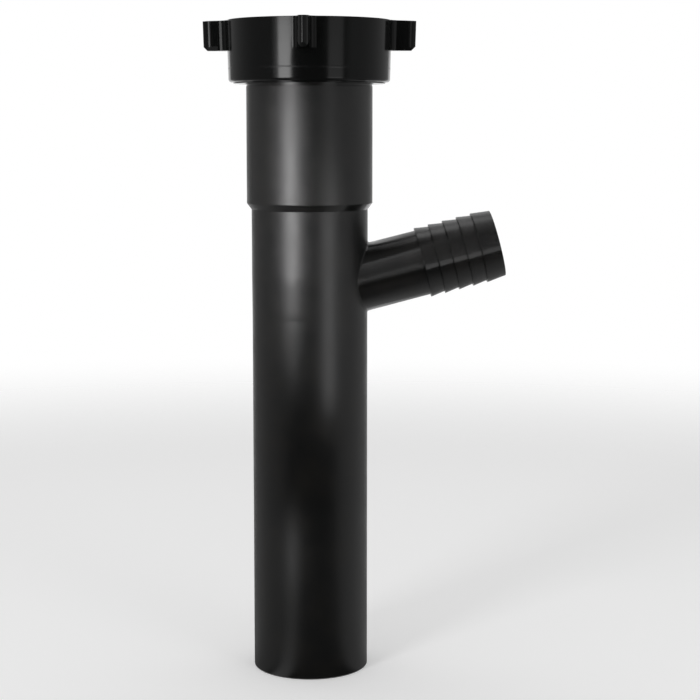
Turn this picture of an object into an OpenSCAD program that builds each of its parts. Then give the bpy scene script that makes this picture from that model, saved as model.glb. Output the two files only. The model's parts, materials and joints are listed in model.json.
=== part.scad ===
// Dishwasher branch tailpiece, direct-connect pattern.
// A one-piece moulded tube carries a slanted barbed branch for the drain hose, a thicker bell
// at the top and a clamping flange. A winged nut turns freely between the flange and the bell.
// It stands on its cut lower end: z = 0 is that end, the tube runs along +Z and the branch
// leaves towards +X.

/* [Tube] */
// Outside diameter of the plain lower end, the nominal inch and a half tubular size
tube_d = 38.1; // [36:0.1:40]
// Wall thickness of the plain tube
tube_wall = 1.75; // [1.4:0.05:2.2]
// Height of the flange face above the cut lower end
body_h = 203.2; // [195:0.1:260]
// Outside diameter between the branch and the bell
shank_d = 38.3; // [38.1:0.1:39]
// Height at which the plain lower end stops, just under the branch
plain_h = 118.5; // [100:0.5:119]

/* [Bell] */
// Outside diameter of the bell
bell_d = 41.4; // [40.8:0.1:42]
// Length of the bell, from its lower edge to the shoulder that carries the nut
bell_h = 41.25; // [30:0.25:43]
// Height of the chamfer from the tube up to the bell
bell_chamfer_h = 2.05; // [1:0.05:4]
// Diameter of the waterway inside the bell
bell_bore_d = 36.4; // [35:0.1:37]
// Height of the polished band at the top of the bell
band_h = 3.2; // [2:0.1:5]
// How far the polished band is sunk below the bell's surface
band_depth = 0.1; // [0.05:0.01:0.2]

/* [Neck and flange] */
// Diameter of the neck that the nut turns on
neck_d = 40; // [39:0.1:40.2]
// Diameter of the clamping flange
flange_d = 44; // [43:0.1:44.4]
// Thickness of the clamping flange
flange_t = 2.7; // [2:0.1:3.5]

/* [Branch] */
// Angle of the branch above the horizontal
branch_angle = 14.5; // [10:0.5:20]
// Height at which the branch axis crosses the tube axis
branch_z = 126.5; // [125:0.5:128]
// Outside diameter of the branch where it leaves the tube
stub_root_d = 22; // [21:0.1:22.5]
// Outside diameter of the branch just before the first barb
stub_d = 21.7; // [21:0.1:22]
// Diameter of the waterway inside the branch
branch_bore_d = 17; // [14:0.5:18]
// Radius of the fillet where the branch meets the tube
root_fillet = 0.6; // [0.3:0.1:1]

/* [Barbs] */
// Number of hose barbs
barb_count = 5; // [3:1:6]
// Distance along the branch axis from the tube axis to the first barb
barb_start = 38.5; // [34:0.5:44]
// Distance from one barb to the next
barb_pitch = 4.8; // [4:0.1:6]
// Length of the last barb, up to the mouth
last_barb_h = 6.4; // [5:0.1:8]
// Diameter over the crests
crest_d = 23.5; // [22.6:0.1:24]
// Diameter at the foot of each barb
valley_d = 22.1; // [21.8:0.1:22.4]

/* [Coupling nut] */
// Outside diameter of the nut at its open top
nut_d = 54; // [52:0.1:58]
// Height of the nut, without the ring below it
nut_h = 20; // [18:0.1:24]
// Outside draft of the nut, in degrees
nut_draft = 1.7; // [0:0.1:2.5]
// Inside diameter at the root of the female thread
thread_d = 46.8; // [46:0.1:48]
// Inside diameter of the plain part of the cup, below the thread
cup_d = 45.4; // [45:0.1:46]
// Height of the solid floor at the bottom of the nut
floor_h = 4.9; // [4:0.1:6]
// Thickness of the lip that bears under the flange
lip_t = 2.7; // [2:0.1:3.5]
// Running clearance between the nut and the tailpiece
clearance = 0.3; // [0.2:0.05:0.5]
// Radius of the nut's lower outer edge
nut_edge_r = 1; // [0.4:0.1:1.5]

/* [Wings] */
// Number of wings round the nut
wing_count = 4; // [2:1:6]
// Radius from the axis to the wing tips
wing_tip_r = 34.9; // [33:0.1:38]
// Height of a wing
wing_h = 9.8; // [6:0.1:14]
// Thickness of a wing at its root
wing_root_t = 3.8; // [3.5:0.1:5]
// Thickness of a wing where its nose begins
wing_t = 3.5; // [2.5:0.1:3.5]
// Width of the flat at the wing tip
wing_tip_w = 0.7; // [0.4:0.1:1.2]
// Radial length of the wing's nose, taken without its rounding
wing_nose = 1.3; // [1:0.1:2]
// Radius of the fillet between a wing and the nut
wing_fillet = 2.8; // [1:0.1:3]
// Size of the bevel round the foot of a wing
wing_bevel = 1.3; // [0.5:0.1:1.5]
// Drop of the wing's top face from root to tip
wing_fall = 0.22; // [0:0.01:0.5]
// Angle by which the nut is turned on the neck
nut_turn = -3.3; // [-45:0.1:45]

/* [Sealing washer] */
// Outside diameter of the washer
washer_d = 44; // [43:0.1:44.4]
// Inside diameter of the washer
washer_bore_d = 37; // [36.4:0.1:39]
// Thickness of the washer
washer_t = 2.4; // [1.5:0.1:3]

/* [Hidden] */
$fn = 96;

// Levels along the tube axis
neck_top = body_h - flange_t;
lip_top = neck_top - clearance;
lip_bottom = lip_top - lip_t;
shoulder_z = lip_bottom - clearance;
bell_z = shoulder_z - bell_h;
nut_z = lip_top - floor_h;
nut_top = nut_z + nut_h;

// The plain end stops below the branch and widens to the shank behind it
widen_h = 14;

// Small edges left by the mould
cut_edge_r = 0.4;
rim_edge_r = 0.3;
shoulder_edge_r = 0.25;
mouth_chamfer = 0.5;

// Distances along the branch axis, measured from the tube axis
root_s = 10;
mouth_s = barb_start + (barb_count - 1) * barb_pitch + last_barb_h;
step_run = 0.15;

// Fillet round the root of the branch: how far its edges dip, and how finely it is drawn
fillet_sink = 0.01;
fillet_bite = 0.3;
fillet_turns = 72;
fillet_steps = 5;

// Inside of the nut: the skirt stands clear of the bell and the thread ends above the washer
skirt_gap = 0.5;
skirt_bore_d = bell_d + 2 * skirt_gap;
thread_gap = 0.3;
thread_z = body_h + washer_t + thread_gap;
thread_end_h = 0.35;
lead_in = 0.8;

// Low ring under the nut
ring_d = 49.8;
ring_h = 0.45;

// Wing details: shares of the tip and the nose that are rounded, and width of the flank bevel
wing_fillet_sink = 0.08;
tip_share = 0.9;
nose_share = 0.98;
flank_bevel_w = 0.7 * wing_bevel;

// Number of straight pieces in a small and in a larger rounded corner
edge_steps = 4;
curve_steps = 6;

// A cut runs this far past the surface that it opens
past = 1;

black_plastic = [0.09, 0.095, 0.095];
washer_white = [0.86, 0.86, 0.82];

// Direction of a vector
function unit(v) = v / norm(v);

// Points of an arc of radius r that replaces the corner b between a and c
function corner(a, b, c, r, steps) =
    let (u = unit(a - b))
    let (v = unit(c - b))
    let (half = acos(u * v) / 2)
    let (centre = b + unit(u + v) * r / sin(half))
    let (from = b + u * r / tan(half) - centre)
    let (to = b + v * r / tan(half) - centre)
    [for (i = [0:steps]) centre + r * unit(from * (1 - i / steps) + to * i / steps)];

// Closed outline with the corners rounded: each item of the list is [point, radius]
function rounded(items, steps = edge_steps) =
    let (n = len(items))
    [for (i = [0:n - 1])
        each items[i][1] == 0
            ? [items[i][0]]
            : corner(items[(i + n - 1) % n][0], items[i][0], items[(i + 1) % n][0],
                items[i][1], steps)];

// Outside of the moulded tube, turned about its axis
module tube_outside() {
    rotate_extrude()
        polygon(rounded([
            [[0, 0], 0],
            [[tube_d / 2, 0], cut_edge_r],
            [[tube_d / 2, plain_h], 0],
            [[shank_d / 2, plain_h + widen_h], 0],
            [[shank_d / 2, bell_z - bell_chamfer_h], rim_edge_r],
            [[bell_d / 2, bell_z], rim_edge_r],
            [[bell_d / 2, shoulder_z - band_h], 0],
            [[bell_d / 2 - band_depth, shoulder_z - band_h + band_depth], 0],
            [[bell_d / 2 - band_depth, shoulder_z], shoulder_edge_r],
            [[neck_d / 2, shoulder_z], 0],
            [[neck_d / 2, neck_top], 0],
            [[flange_d / 2, neck_top], rim_edge_r],
            [[flange_d / 2, body_h], rim_edge_r],
            [[0, body_h], 0]
        ]));
}

// Inside of the moulded tube: the plain bore, a short cone and the wider bore of the bell
module tube_waterway() {
    bore_r = tube_d / 2 - tube_wall;
    bell_r = bell_bore_d / 2;
    rotate_extrude()
        polygon([
            [0, -past],
            [bore_r + mouth_chamfer + past, -past],
            [bore_r, mouth_chamfer],
            [bore_r, bell_z],
            [bell_r, bell_z + bell_chamfer_h],
            [bell_r, body_h - mouth_chamfer],
            [bell_r + mouth_chamfer + past, body_h + past],
            [0, body_h + past]
        ]);
}

// Puts its children on the branch axis, which starts on the tube axis
module on_branch() {
    translate([0, 0, branch_z])
        rotate([0, 90 - branch_angle, 0])
            children();
}

// Outline of the barbs: each rises in a steep step and tapers down towards the mouth
barb_points = [for (i = [0:barb_count - 1], end = [0, 1])
    let (s = barb_start + i * barb_pitch)
    let (length = i < barb_count - 1 ? barb_pitch : last_barb_h)
    end == 0 ? [crest_d / 2, s + step_run] : [valley_d / 2, s + length]];

// Outside of the branch, turned about its own axis and rooted inside the tube wall
module branch_outside() {
    on_branch()
        rotate_extrude()
            polygon(concat(
                [[0, root_s], [stub_root_d / 2, root_s], [stub_d / 2, barb_start]],
                barb_points,
                [[0, mouth_s]]
            ));
}

// Waterway of the branch, open into the tube and slightly flared at its mouth
module branch_waterway() {
    start_s = root_s / 2;
    bore_r = branch_bore_d / 2;
    on_branch()
        rotate_extrude()
            polygon([
                [0, start_s],
                [bore_r, start_s],
                [bore_r, mouth_s - mouth_chamfer],
                [bore_r + mouth_chamfer + past, mouth_s + past],
                [0, mouth_s + past]
            ]);
}

// Outside radius of the tube at a height beside the branch
function tube_r(z) =
    (tube_d + (shank_d - tube_d) * min(1, max(0, (z - plain_h) / widen_h))) / 2;

// Outside radius of the plain stub at a distance along the branch axis
function stub_r(s) =
    (stub_root_d + (stub_d - stub_root_d) * (s - root_s) / (barb_start - root_s)) / 2;

// Direction square to the branch axis, at an angle round it from the top
function spoke(turn) =
    [-sin(branch_angle) * cos(turn), sin(turn), cos(branch_angle) * cos(turn)];

// Centre of a ball that rests in the corner between tube and branch, found in a few rounds
function ball_centre(turn, gap, s = 20, rounds = 5) =
    let (out = stub_r(s) + gap)
    let (axis_point = [s * cos(branch_angle), 0, branch_z + s * sin(branch_angle)])
    let (centre = axis_point + out * spoke(turn))
    rounds == 0
        ? centre
        : let (x = sqrt(pow(tube_r(centre[2]) + gap, 2) - pow(centre[1], 2)))
            let (next = (x + out * cos(turn) * sin(branch_angle)) / cos(branch_angle))
            ball_centre(turn, gap, next, rounds - 1);

// Section of the fillet at one turn: a hollow arc, closed by points inside both walls
function fillet_section(turn) =
    let (centre = ball_centre(turn, root_fillet - fillet_sink))
    let (to_tube = -unit([centre[0], centre[1], 0]))
    let (to_branch = -spoke(turn))
    let (deep = root_fillet + fillet_bite)
    concat(
        [centre + deep * to_tube],
        [for (i = [0:fillet_steps])
            let (t = i / fillet_steps)
            centre + root_fillet * unit(to_tube * (1 - t) + to_branch * t)],
        [centre + deep * to_branch],
        [centre + deep * (to_tube + to_branch) / (1 + to_tube * to_branch)]
    );

// Fillet all round the root of the branch: its section follows the saddle curve and closes on itself
module branch_fillet() {
    sections = [for (i = [0:fillet_turns - 1]) fillet_section(i * 360 / fillet_turns)];
    width = len(sections[0]);
    polyhedron(
        points = [for (section = sections) each section],
        faces = [for (i = [0:fillet_turns - 1], j = [0:width - 1], half = [0, 1])
            let (here = i * width)
            let (there = (i + 1) % fillet_turns * width)
            let (k = (j + 1) % width)
            half == 0 ? [here + j, there + j, here + k] : [there + j, there + k, here + k]]
    );
}

// Tube, bell, neck, flange and branch: one moulding with two crossing waterways
module tailpiece_body() {
    color(black_plastic)
        difference() {
            union() {
                tube_outside();
                branch_outside();
                branch_fillet();
            }
            tube_waterway();
            branch_waterway();
        }
}

// Outside radius of the nut at a height above its foot, with the moulding draft
function nut_r(h) = nut_d / 2 - (nut_h - h) * tan(nut_draft);

// Body of the nut as one turned section: ring, floor with its lip, and threaded cup
module nut_shell() {
    rotate_extrude()
        polygon(rounded([
            [[skirt_bore_d / 2, nut_z - ring_h], 0],
            [[ring_d / 2, nut_z - ring_h], rim_edge_r],
            [[ring_d / 2, nut_z], 0],
            [[nut_r(0), nut_z], nut_edge_r],
            [[nut_r(nut_h), nut_top], rim_edge_r / 2],
            [[thread_d / 2 + lead_in, nut_top], 0],
            [[thread_d / 2, nut_top - lead_in], 0],
            [[thread_d / 2, thread_z], 0],
            [[cup_d / 2, thread_z - thread_end_h], 0],
            [[cup_d / 2, lip_top], rim_edge_r],
            [[neck_d / 2 + clearance, lip_top], 0],
            [[neck_d / 2 + clearance, lip_bottom], 0],
            [[skirt_bore_d / 2, lip_bottom], 0]
        ], curve_steps));
}

// Plan of one wing along +X at the nut's top: filleted root, tapered flanks and a rounded nose
module wing_plan() {
    body_r = nut_d / 2 - wing_fillet_sink;
    root = wing_root_t / 2;
    flank = wing_t / 2;
    tip = wing_tip_w / 2;
    fillet_centre = [sqrt(pow(body_r + wing_fillet, 2) - pow(root + wing_fillet, 2)), root + wing_fillet];
    fillet_end = 180 + atan2(fillet_centre[1], fillet_centre[0]);
    fillet = [for (i = [0:fillet_steps])
        let (turn = fillet_end + (270 - fillet_end) * i / fillet_steps)
        fillet_centre + wing_fillet * [cos(turn), sin(turn)]];
    slope = atan2(flank - tip, wing_nose);
    tip_run = tip_share * tip;
    tip_edge_r = tip_run / tan((90 - slope) / 2);
    nose_r = nose_share * (norm([wing_nose, flank - tip]) - tip_run) / tan(slope / 2);
    side = rounded([
        [fillet[fillet_steps], 0],
        [[wing_tip_r - wing_nose, flank], nose_r],
        [[wing_tip_r, tip], tip_edge_r],
        [[wing_tip_r, 0], 0]
    ], curve_steps);
    outline = concat([[thread_d / 2 + past, fillet[0][1]]], fillet, side);
    polygon(concat(outline, [for (i = [len(outline) - 1:-1:0]) [outline[i][0], -outline[i][1]]]));
}

// Levels and reach of a wing, turned about the nut's axis, with the bevel under its tip
module wing_bounds() {
    inner_r = thread_d / 2 + past;
    outer_r = wing_tip_r + past;
    foot_r = wing_tip_r - wing_h * tan(nut_draft) - wing_bevel;
    foot_z = nut_top - wing_h;
    fall = wing_fall / (wing_tip_r - nut_d / 2);
    rotate_extrude()
        polygon([
            [inner_r, foot_z],
            [foot_r, foot_z],
            [outer_r, foot_z + outer_r - foot_r],
            [outer_r, nut_top - fall * (outer_r - nut_d / 2)],
            [nut_d / 2, nut_top],
            [inner_r, nut_top]
        ]);
}

// Bevel along the foot of one flank, from the root fillet outwards
module flank_bevel(side) {
    flank = wing_t / 2;
    translate([nut_d / 2 + wing_fillet, 0, nut_top - wing_h])
        rotate([90, 0, 90])
            linear_extrude(wing_tip_r - nut_d / 2)
                polygon([
                    [side * (flank - 2 * flank_bevel_w), -wing_bevel],
                    [side * (flank + flank_bevel_w), -wing_bevel],
                    [side * (flank + flank_bevel_w), 2 * wing_bevel]
                ]);
}

// One wing: its plan raised to the wing's height, leaning out with the nut's draft
module wing() {
    difference() {
        intersection() {
            translate([wing_tip_r, 0, nut_top])
                rotate([0, nut_draft, 0])
                    translate([-wing_tip_r, 0, -wing_h - past])
                        linear_extrude(wing_h + 2 * past)
                            wing_plan();
            wing_bounds();
        }
        flank_bevel(1);
        flank_bevel(-1);
    }
}

// Winged coupling nut, open at the top, with the lip that hangs it on the neck
module coupling_nut() {
    color(black_plastic)
        rotate([0, 0, nut_turn])
            union() {
                nut_shell();
                for (i = [0:wing_count - 1])
                    rotate([0, 0, i * 360 / wing_count])
                        wing();
            }
}

// Flat washer that lies on the flange and seals against the sink outlet
module sealing_washer() {
    color(washer_white)
        rotate_extrude()
            polygon(rounded([
                [[washer_bore_d / 2, body_h], 0],
                [[washer_d / 2, body_h], 0],
                [[washer_d / 2, body_h + washer_t], rim_edge_r],
                [[washer_bore_d / 2, body_h + washer_t], rim_edge_r]
            ]));
}

tailpiece_body();
coupling_nut();
sealing_washer();
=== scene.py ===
import json
import math

import bpy
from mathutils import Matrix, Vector

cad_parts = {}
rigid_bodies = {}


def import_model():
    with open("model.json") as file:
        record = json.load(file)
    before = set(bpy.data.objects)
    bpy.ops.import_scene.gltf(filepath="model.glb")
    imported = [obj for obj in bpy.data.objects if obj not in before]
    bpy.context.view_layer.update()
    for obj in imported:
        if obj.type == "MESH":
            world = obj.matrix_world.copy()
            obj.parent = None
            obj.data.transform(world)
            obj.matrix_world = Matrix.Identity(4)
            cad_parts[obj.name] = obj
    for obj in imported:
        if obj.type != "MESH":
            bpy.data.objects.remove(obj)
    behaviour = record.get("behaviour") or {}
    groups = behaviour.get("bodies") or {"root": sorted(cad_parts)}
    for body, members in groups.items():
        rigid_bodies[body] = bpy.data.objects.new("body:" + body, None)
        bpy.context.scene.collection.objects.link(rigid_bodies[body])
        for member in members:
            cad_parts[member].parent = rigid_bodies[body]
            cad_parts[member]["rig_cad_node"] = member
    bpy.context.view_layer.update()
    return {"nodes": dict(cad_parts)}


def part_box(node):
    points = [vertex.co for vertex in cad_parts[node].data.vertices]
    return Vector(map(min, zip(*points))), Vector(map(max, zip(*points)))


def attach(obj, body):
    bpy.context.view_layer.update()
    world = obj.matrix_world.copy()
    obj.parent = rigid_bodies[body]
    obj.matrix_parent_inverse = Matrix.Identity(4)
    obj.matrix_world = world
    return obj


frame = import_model()
MM = 0.001


# TAILPIECE BODY
# Tube, bell, neck, flange and slanted barbed branch, injection moulded in one shot of black
# polypropylene. The tube and bell come off the core slightly dull and cloudy, with soft
# ripples, a few handling scuffs and a bright band where the nut's skirt runs.

class Wire:
    """One shader value: arithmetic on it adds Math nodes, and node() adds any other node."""

    def __init__(self, tree, socket=None):
        self.tree = tree
        self.socket = socket

    def node(self, kind, settings=None, sockets=None, output=0):
        """A node of one type, with its settings made first and then its sockets filled."""
        made = self.tree.nodes.new("ShaderNode" + kind)
        for name, value in (settings or {}).items():
            if name == "stops":
                for i, (place, colour) in enumerate(value):
                    stop = made.color_ramp.elements[i] if i < 2 else made.color_ramp.elements.new(place)
                    stop.position = place
                    stop.color = colour
            else:
                setattr(made, name, value)
        for name, value in (sockets or {}).items():
            if isinstance(value, Wire):
                self.tree.links.new(value.socket, made.inputs[name])
            else:
                made.inputs[name].default_value = value
        return Wire(self.tree, made.outputs[output])

    def maths(self, operation, other=0.0, swap=False):
        """One Math node on this value and another, taken the other way round if swapped."""
        first, second = (other, self) if swap else (self, other)
        return self.node("Math", {"operation": operation}, {0: first, 1: second})

    def __add__(self, other):
        return self.maths("ADD", other)

    def __radd__(self, other):
        return self.maths("ADD", other, swap=True)

    def __sub__(self, other):
        return self.maths("SUBTRACT", other)

    def __rsub__(self, other):
        return self.maths("SUBTRACT", other, swap=True)

    def __mul__(self, other):
        return self.maths("MULTIPLY", other)

    def __rmul__(self, other):
        return self.maths("MULTIPLY", other, swap=True)

    def __truediv__(self, other):
        return self.maths("DIVIDE", other)

    def step(self, low, high, soft=True):
        """0 below low and 1 above high, or the other way round where low is the larger."""
        kind = "SMOOTHSTEP" if soft else "LINEAR"
        return self.node("MapRange", {"interpolation_type": kind, "clamp": True},
                         {"Value": self, "From Min": low, "From Max": high})

    def tint(self, first, second):
        """The first colour where this mask is 0 and the second where it is 1."""
        return self.node("Mix", {"data_type": "RGBA"}, {0: self, 6: first, 7: second}, output=2)

    def times(self, stretch):
        """This vector, multiplied along each axis."""
        return self.node("VectorMath", {"operation": "MULTIPLY"}, {0: self, 1: stretch})

    def cloud(self, size, detail=2.0, seed=0.0):
        """Soft noise on this vector, with features of about that size, from 0 to 1."""
        return self.node("TexNoise", {"noise_dimensions": "4D"},
                         {"Vector": self, "W": seed, "Scale": 1 / size, "Detail": detail})

    def into(self, shader, name):
        self.tree.links.new(self.socket, shader.inputs[name])


def new_finish(name, colour, roughness):
    """A material with its shader set to one colour and roughness, and the wire of its places in mm."""
    material = bpy.data.materials.new(name)
    material.use_nodes = True
    shader = material.node_tree.nodes["Principled BSDF"]
    shader.inputs["Base Color"].default_value = (*colour, 1)
    shader.inputs["Roughness"].default_value = roughness
    place = Wire(material.node_tree).node("TexCoord", output="Object").times((1 / MM,) * 3)
    return material, shader, place


def dress(piece, material, body):
    """Gives a piece its material and the body it rides on."""
    piece.data.materials.clear()
    piece.data.materials.append(material)
    if "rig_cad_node" not in piece:
        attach(piece, body)


TUBE_BLACK = (0.0034, 0.0036, 0.0035)
TUBE_WARM = (0.0060, 0.0055, 0.0045)
BAND_HEIGHT = 3.3
body_low, body_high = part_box("tailpiece_body")
FLANGE_FACE = body_high.z / MM
NECK_LENGTH = 6.0


def tube_finish():
    """Satin black moulding: cloudy gloss, soft ripples, scuffs, and the bright band under the nut."""
    material, shader, place = new_finish("tube_black", TUBE_BLACK, 0.26)
    shader.inputs["Specular IOR Level"].default_value = 1.0
    shader.inputs["Anisotropic"].default_value = 1.0
    up = place.node("SeparateXYZ", sockets={0: place}, output=2)
    patches = place.cloud(9, detail=3, seed=1)
    smudges = place.times((1, 1, 0.6)).cloud(3.2, detail=4, seed=2)
    band = up.step(FLANGE_FACE - NECK_LENGTH - BAND_HEIGHT - 0.05, FLANGE_FACE - NECK_LENGTH - BAND_HEIGHT + 0.05)
    dull = 0.225 + (patches - 0.5) * 0.08 + (smudges - 0.5) * 0.05
    (dull * (1 - band) + band * 0.16).into(shader, "Roughness")
    patches.step(0.35, 0.75).tint((*TUBE_BLACK, 1), (*TUBE_WARM, 1)).into(shader, "Base Color")
    ripple = place.times((1, 1, 0.45)).cloud(7, detail=1, seed=3)
    grain = place.cloud(0.35, detail=2, seed=4)
    height = ripple * 1.0 + grain * 0.02
    bump = place.node("Bump", sockets={"Strength": 1.0, "Distance": 0.03 * MM, "Height": height})
    bump.into(shader, "Normal")
    return material


tube_black = tube_finish()
dress(frame["nodes"]["tailpiece_body"], tube_black, "tailpiece")


# COUPLING NUT
# Captive nut with four wings, moulded in the same black plastic in a better polished mould, so
# it is glossier than the tube. Fine turning marks of the mould run round it.

NUT_BLACK = (0.0036, 0.0039, 0.0038)
WITNESS_Z = 199.7


def nut_finish():
    """Gloss black with faint rings left by the turned mould and one witness line."""
    material, shader, place = new_finish("nut_black", NUT_BLACK, 0.13)
    shader.inputs["Specular IOR Level"].default_value = 0.42
    up = place.node("SeparateXYZ", sockets={0: place}, output=2)
    rings = place.times((0.05, 0.05, 1)).cloud(0.5, detail=2, seed=5)
    waves = place.cloud(8, detail=1, seed=6)
    witness = (up - WITNESS_Z).maths("ABSOLUTE").step(0.45, 0.0)
    (0.12 + waves * 0.05 + witness * 0.12).into(shader, "Roughness")
    height = rings * 0.05 + waves * 1.0 + witness * 0.5
    bump = place.node("Bump", sockets={"Strength": 1.0, "Distance": 0.02 * MM, "Height": height})
    bump.into(shader, "Normal")
    return material


nut_black = nut_finish()
dress(frame["nodes"]["coupling_nut"], nut_black, "nut")


# NUT THREAD
# Female pipe thread in the upper part of the nut, 11 1/2 turns to the inch, moulded with the
# nut and run out at both ends. It is a ridge that winds round the plain bore.

THREAD_PITCH = 25.4 / 11.5
THREAD_ROOT_R = 23.45
THREAD_CREST_R = 22.45
THREAD_LOW = 206.6
THREAD_HIGH = 213.9
THREAD_STEPS = 96
RUN_OUT = 0.12


def mesh_piece(name, points, faces, smooth=True):
    """A mesh object from points in mm."""
    mesh = bpy.data.meshes.new(name)
    mesh.from_pydata([Vector(p) * MM for p in points], [], faces)
    mesh.polygons.foreach_set("use_smooth", [smooth] * len(mesh.polygons))
    mesh.update()
    piece = bpy.data.objects.new(name, mesh)
    bpy.context.scene.collection.objects.link(piece)
    return piece


def swept(sections, closed):
    """Points and faces of a tube through a row of closed sections, joined end to end or capped."""
    wide = len(sections[0])
    points = [p for section in sections for p in section]
    faces = []
    for i in range(len(sections) if closed else len(sections) - 1):
        here = i * wide
        there = (i + 1) % len(sections) * wide
        for j in range(wide):
            k = (j + 1) % wide
            faces.append((here + j, here + k, there + k, there + j))
    if not closed:
        faces.append(tuple(range(wide - 1, -1, -1)))
        faces.append(tuple(range(len(points) - wide, len(points))))
    return points, faces


def thread_section(share, turns):
    """Section of the ridge at a share of its length: base, flanks and a narrow flat crest."""
    grow = min(1, share / RUN_OUT, (1 - share) / RUN_OUT)
    turn = share * turns * math.tau
    z = THREAD_LOW + share * turns * THREAD_PITCH
    crest_r = THREAD_ROOT_R - (THREAD_ROOT_R - THREAD_CREST_R) * grow
    half_base = 0.8
    half_crest = 0.2
    profile = [(THREAD_ROOT_R + 0.1, -half_base), (THREAD_ROOT_R, -half_base), (crest_r, -half_crest),
               (crest_r, half_crest), (THREAD_ROOT_R, half_base), (THREAD_ROOT_R + 0.1, half_base)]
    return [(r * math.cos(turn), r * math.sin(turn), z + dz) for r, dz in profile]


thread_turns = (THREAD_HIGH - THREAD_LOW) / THREAD_PITCH
thread_count = round(thread_turns * THREAD_STEPS)
thread_sections = [thread_section(i / thread_count, thread_turns) for i in range(thread_count + 1)]
nut_thread = mesh_piece("nut_thread", *swept(thread_sections, closed=False), smooth=False)
dress(nut_thread, nut_black, "nut")


# SEALING WASHER
# Flat washer stamped from natural white polyethylene. It lies on the flange inside the nut and
# is squeezed against the sink outlet.

WASHER_WHITE = (0.70, 0.70, 0.66)


def washer_finish():
    """Waxy off-white with a faint stamped grain."""
    material, shader, place = new_finish("washer_white", WASHER_WHITE, 0.42)
    wax = place.cloud(4, detail=3, seed=7)
    wax.tint((*WASHER_WHITE, 1), (0.62, 0.62, 0.57, 1)).into(shader, "Base Color")
    (0.38 + wax * 0.12).into(shader, "Roughness")
    bump = place.node("Bump", sockets={"Strength": 1.0, "Distance": 0.02 * MM,
                                       "Height": place.cloud(0.6, detail=3, seed=8)})
    bump.into(shader, "Normal")
    return material


dress(frame["nodes"]["sealing_washer"], washer_finish(), "tailpiece")


# STUDIO
# White sweep under and behind the part, and glowing sheets on the camera's side which only
# reflections see: painted reflection, black in front and grey at the sides, with painted strips
# standing in for the key and fill lights, so that the black plastic stays black between the lights.

CARD_R = 1.3
CARD_H = 1.6
CARD_OPEN = 150
FLOOR_R = 0.8
WHITE = (1, 1, 1, 1)
KEY_GLOW = 6.8
FILL_GLOW = 1.35


def glow_stage(name, points, faces, grey):
    """A stage sheet that only reflections see; its grey is worked out from the sheet's places in mm."""
    sheet = mesh_piece(name, points, faces)
    material = bpy.data.materials.new(name)
    material.use_nodes = True
    tree = material.node_tree
    tree.nodes.clear()
    start = Wire(tree)
    place = start.node("TexCoord", output="Object").times((1 / MM,) * 3)
    glow = start.node("Emission", sockets={"Color": grey(place)})
    output = tree.nodes.new("ShaderNodeOutputMaterial")
    glow.into(output, "Surface")
    sheet.data.materials.append(material)
    sheet.visible_camera = False
    sheet.visible_diffuse = False
    sheet.visible_transmission = False
    sheet.visible_shadow = False
    return sheet


def round_from_camera(degrees, radius, height):
    """A point at an angle round the part from the camera's side, in mm."""
    turn = math.radians(degrees)
    return (radius / MM * math.sin(turn), -radius / MM * math.cos(turn), height / MM)


card_angles = [-CARD_OPEN + i * 5 for i in range(2 * CARD_OPEN // 5 + 1)]
card_points = [round_from_camera(a, CARD_R, z) for a in card_angles for z in (0, CARD_H)]
card_faces = [(2 * i, 2 * i + 1, 2 * i + 3, 2 * i + 2) for i in range(len(card_angles) - 1)]


def band(turn, low, high, soft=1.0):
    """1 between two angles, falling off over a soft edge on both sides."""
    return turn.step(low - soft, low + soft) * turn.step(high + soft, high - soft)


def measures(place):
    """Angle round the part from the camera's side in degrees, distance from the axis, and height."""
    x, y, up = (place.node("SeparateXYZ", sockets={0: place}, output=i) for i in range(3))
    turn = x.maths("ARCTAN2", y * -1) * (180 / math.pi)
    flat = place.times((1, 1, 0))
    away = place.node("VectorMath", {"operation": "LENGTH"}, {0: flat}, output="Value")
    return turn, away, up


def side_grey(turn):
    """Painted reflection of the room: black in front of the part, rising in two steps to a middle grey at the
    sides and the back.
    """
    aside = turn.maths("ABSOLUTE")
    return 0.02 + 0.12 * aside.step(42, 62) + 0.12 * aside.step(70, 130) + 0.07 * turn.step(48, 62)


def key_band(turn):
    return band(turn, -43.4, -25.8, soft=0.7) + 0.12 * band(turn, -50, -43, soft=3)


def fill_band(turn):
    return band(turn, 26.0, 47.5, soft=1.5)


def wall_grey(place):
    """Glowing wall: painted reflection of lit paper, with painted strips standing in for the bright key light on
    the left and the weaker fill light on the right.
    """
    turn, away, up = measures(place)
    key = key_band(turn) * (0.4 + 0.6 * up.step(235, 172))
    fill = fill_band(turn) * (0.30 + 0.70 * up.step(155, 100))
    return side_grey(turn) + KEY_GLOW * key + FILL_GLOW * fill


def table_grey(place):
    """Glowing floor sheet: painted reflection of a dark table, the painted feet of both light strips, and a
    painted pool of key light round the part.
    """
    turn, away, up = measures(place)
    key = key_band(turn) * (0.85 * away.step(1050, 1250) + 0.15 * away.step(600, 800))
    fill = fill_band(turn) * away.step(500, 610)
    # Painted pool of light: the sheet glows brighter round the part, most towards the key.
    beam = band(turn, -45, -25, soft=5) * (0.3 + 0.5 * away.step(80, 190))
    painted_light_pool = away.step(300, 190) * (0.02 + beam)
    return side_grey(turn) + KEY_GLOW * key + FILL_GLOW * fill + painted_light_pool


def ceiling_grey(place):
    """Dim even glow, a painted reflection of the ceiling."""
    turn, away, up = measures(place)
    return 0.10 + 0.0 * away


# Glowing sheets that only reflections see: their glow is painted reflection of the room and the strip lights.
glow_stage("painted_reflection_wall", card_points, card_faces, wall_grey)
rim = [round_from_camera(a, CARD_R, 0.0004) for a in card_angles]
glow_stage("painted_reflection_table", rim + [(0, 0, 0.4)], [(*range(len(rim)), len(rim))], table_grey)
ceiling_rim = [round_from_camera(a * 6, CARD_R, CARD_H) for a in range(60)]
glow_stage("ceiling", ceiling_rim, [tuple(range(60))], ceiling_grey)

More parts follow.
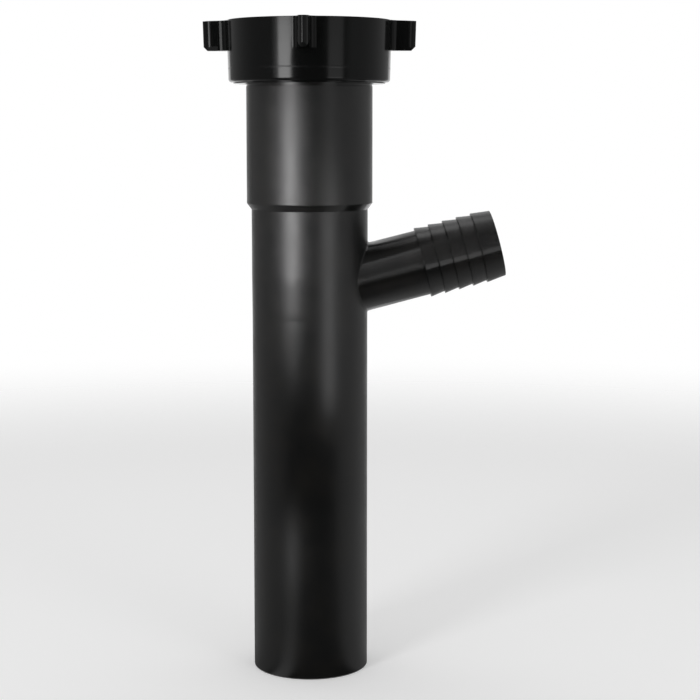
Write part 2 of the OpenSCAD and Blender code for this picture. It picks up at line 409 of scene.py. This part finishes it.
floor = mesh_piece("floor", [round_from_camera(a * 5, FLOOR_R, 0) for a in range(72)], [tuple(range(72))])
floor_material = bpy.data.materials.new("floor_white")
floor_material.use_nodes = True
floor_tree = floor_material.node_tree
floor_tree.nodes.clear()
floor_start = Wire(floor_tree)
seen = floor_start.node("LightPath", output="Is Camera Ray")
mirrored = floor_start.node("LightPath", output="Is Glossy Ray")
through = floor_start.node("LightPath", output="Is Transmission Ray")
floor_place = floor_start.node("TexCoord", output="Object")
away = floor_place.node("VectorMath", {"operation": "LENGTH"}, {0: floor_place}, output="Value")
paper = floor_start.node("BsdfDiffuse", sockets={"Color": (0.86, 0.86, 0.86, 1)})
lift = floor_start.node("Emission", sockets={"Color": ((seen + mirrored + through) * 0.25)})
sheet_shader = floor_start.node("AddShader", sockets={0: paper, 1: lift})
clear = floor_start.node("BsdfTransparent")
fade = away.step(0.35, 0.78)
floor_output = floor_tree.nodes.new("ShaderNodeOutputMaterial")
floor_start.node("MixShader", sockets={0: fade, 1: sheet_shader, 2: clear}).into(floor_output, "Surface")
floor.data.materials.append(floor_material)

world = bpy.data.worlds.new("studio")
bpy.context.scene.world = world
world.use_nodes = True
world_tree = world.node_tree
world_tree.nodes.clear()
world_start = Wire(world_tree)
seen = world_start.node("LightPath", output="Is Camera Ray")
mirrored = world_start.node("LightPath", output="Is Glossy Ray")
through = world_start.node("LightPath", output="Is Transmission Ray")
shown = (seen + mirrored + through).maths("MINIMUM", 1)
AMBIENT = 0.45
dim_sky = world_start.node("Background", sockets={"Color": WHITE, "Strength": AMBIENT})
white_sky = world_start.node("Background", sockets={"Color": WHITE, "Strength": 1.0})
world_output = world_tree.nodes.new("ShaderNodeOutputWorld")
world_start.node("MixShader", sockets={0: shown, 1: dim_sky, 2: white_sky}).into(world_output, "Surface")


def soft_box(name, place, aim, width, height, radiance, shines):
    """A rectangular lamp at a place, turned to a point, with one radiance all over."""
    lamp = bpy.data.lights.new(name, "AREA")
    lamp.shape = "RECTANGLE"
    lamp.size = width
    lamp.size_y = height
    lamp.energy = radiance * math.pi * width * height
    holder = bpy.data.objects.new(name, lamp)
    holder.location = place
    holder.rotation_euler = (Vector(aim) - Vector(place)).to_track_quat("-Z", "Y").to_euler()
    holder.visible_camera = False
    holder.visible_glossy = shines
    bpy.context.scene.collection.objects.link(holder)


def strip_light(name, degrees, distance, low, high, width, radiance):
    """An upright strip light at an angle round the part from the camera's side."""
    middle = (low + high) / 2
    place = Vector(round_from_camera(degrees, distance, middle)) * MM
    soft_box(name, place, (0, 0, middle), width, high - low, radiance, shines=False)


# The strip lamps light the part but reflections don't see them; the painted strips on the glowing sheets stand in
# for them there.
strip_light("key_strip", -35, 0.9, 0.025, 1.1, 0.221, 4.0)
strip_light("fill_strip", 37, 0.5, 0.004, 0.7, 0.18, 0.9)
soft_box("overhead", (0, 0.25, 1.0), (0, 0, 0.15), 0.9, 0.3, 1.3, shines=True)


# CAMERA
# Placed where the photograph was taken from: a little above the nut, on the front of the part,
# looking down 6.4 degrees, with the frame shifted slightly down.

CAMERA_PLACE = (0, -0.56854, 0.18245)
LOOK_DOWN = 6.40
LOOK_RIGHT = 1.34

lens = bpy.data.cameras.new("camera")
lens.lens = 88.50
lens.sensor_width = 36
lens.shift_y = -0.05
camera = bpy.data.objects.new("camera", lens)
camera.location = CAMERA_PLACE
camera.rotation_euler = (math.radians(90 - LOOK_DOWN), 0, math.radians(-LOOK_RIGHT))
bpy.context.scene.collection.objects.link(camera)
bpy.context.scene.camera = camera
bpy.context.scene.view_settings.view_transform = "Standard"
